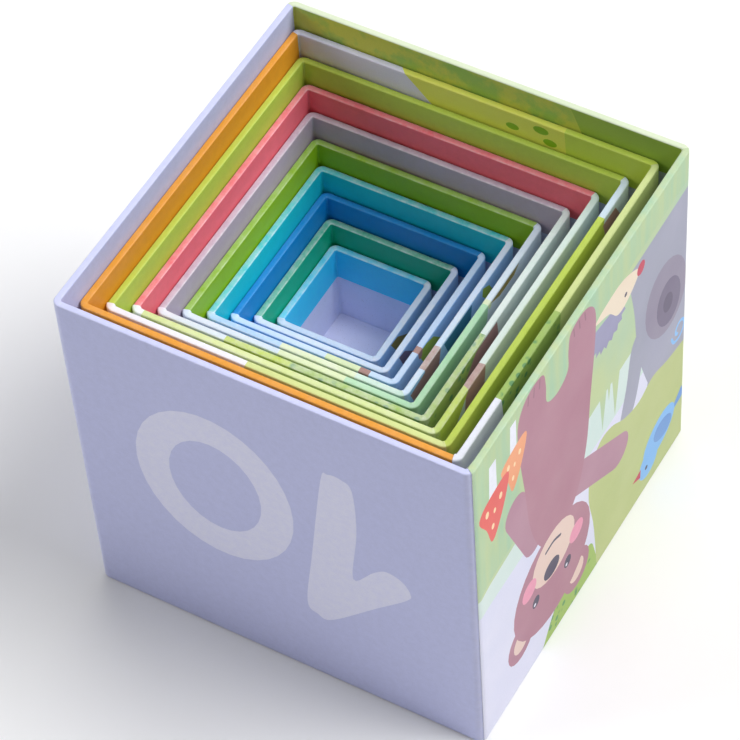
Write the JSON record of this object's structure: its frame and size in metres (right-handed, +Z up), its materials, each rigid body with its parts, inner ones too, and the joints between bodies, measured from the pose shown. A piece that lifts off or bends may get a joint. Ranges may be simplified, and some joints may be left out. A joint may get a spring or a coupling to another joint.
{
  "type": "stacking cubes",
  "caption": "Nest of open-topped paper-covered cardboard cubes that lift out one by one and stack upside down into a tower.",
  "frame": {"origin": "middle of the underside of the outermost cube, on the surface it stands on", "axes": "+Z up out of the open tops, -Y the numbered side, +X the side with the picture"},
  "size_m": [0.14, 0.14, 0.1368],
  "materials": {
    "cover_10": "printed and matt laminated paper, lavender ground",
    "cover_9": "printed and matt laminated paper, orange ground",
    "cover_8": "printed and matt laminated paper, lime ground",
    "cover_7": "printed and matt laminated paper, coral red ground",
    "cover_6": "printed and matt laminated paper, mauve grey ground",
    "cover_5": "printed and matt laminated paper, green ground",
    "cover_4": "printed and matt laminated paper, teal ground",
    "cover_3": "printed and matt laminated paper, blue ground",
    "cover_2": "printed and matt laminated paper, emerald ground",
    "cover_1": "printed and matt laminated paper, sky blue ground",
    "greyboard": "raw rigid greyboard",
    "lining": "smooth white uncoated paper",
    "base_sheet": "smooth white paper"
  },
  "bodies": {
    "cube_10": {"cube_10_board_tray": "greyboard", "cube_10_printed_cover": "cover_10", "cube_10_lining": "lining", "cube_10_base_sheet": "base_sheet"},
    "cube_9": {"cube_9_board_tray": "greyboard", "cube_9_printed_cover": "cover_9", "cube_9_lining": "lining", "cube_9_base_sheet": "base_sheet"},
    "cube_8": {"cube_8_board_tray": "greyboard", "cube_8_printed_cover": "cover_8", "cube_8_lining": "lining", "cube_8_base_sheet": "base_sheet"},
    "cube_7": {"cube_7_board_tray": "greyboard", "cube_7_printed_cover": "cover_7", "cube_7_lining": "lining", "cube_7_base_sheet": "base_sheet"},
    "cube_6": {"cube_6_board_tray": "greyboard", "cube_6_printed_cover": "cover_6", "cube_6_lining": "lining", "cube_6_base_sheet": "base_sheet"},
    "cube_5": {"cube_5_board_tray": "greyboard", "cube_5_printed_cover": "cover_5", "cube_5_lining": "lining", "cube_5_base_sheet": "base_sheet"},
    "cube_4": {"cube_4_board_tray": "greyboard", "cube_4_printed_cover": "cover_4", "cube_4_lining": "lining", "cube_4_base_sheet": "base_sheet"},
    "cube_3": {"cube_3_board_tray": "greyboard", "cube_3_printed_cover": "cover_3", "cube_3_lining": "lining", "cube_3_base_sheet": "base_sheet"},
    "cube_2": {"cube_2_board_tray": "greyboard", "cube_2_printed_cover": "cover_2", "cube_2_lining": "lining", "cube_2_base_sheet": "base_sheet"},
    "cube_1": {"cube_1_board_tray": "greyboard", "cube_1_printed_cover": "cover_1", "cube_1_lining": "lining", "cube_1_base_sheet": "base_sheet"}
  },
  "joints": [
    {"name": "cube_9_lift", "type": "slide", "parent": "cube_10", "child": "cube_9", "axis": [0, 0, 1], "range_m": [0, 0.1396]},
    {"name": "cube_8_lift", "type": "slide", "parent": "cube_9", "child": "cube_8", "axis": [0, 0, 1], "range_m": [0, 0.1283]},
    {"name": "cube_7_lift", "type": "slide", "parent": "cube_8", "child": "cube_7", "axis": [0, 0, 1], "range_m": [0, 0.1169]},
    {"name": "cube_6_lift", "type": "slide", "parent": "cube_7", "child": "cube_6", "axis": [0, 0, 1], "range_m": [0, 0.1056]},
    {"name": "cube_5_lift", "type": "slide", "parent": "cube_6", "child": "cube_5", "axis": [0, 0, 1], "range_m": [0, 0.0942]},
    {"name": "cube_4_lift", "type": "slide", "parent": "cube_5", "child": "cube_4", "axis": [0, 0, 1], "range_m": [0, 0.0829]},
    {"name": "cube_3_lift", "type": "slide", "parent": "cube_4", "child": "cube_3", "axis": [0, 0, 1], "range_m": [0, 0.0715]},
    {"name": "cube_2_lift", "type": "slide", "parent": "cube_3", "child": "cube_2", "axis": [0, 0, 1], "range_m": [0, 0.0602]},
    {"name": "cube_1_lift", "type": "slide", "parent": "cube_2", "child": "cube_1", "axis": [0, 0, 1], "range_m": [0, 0.0488]}
  ]
}
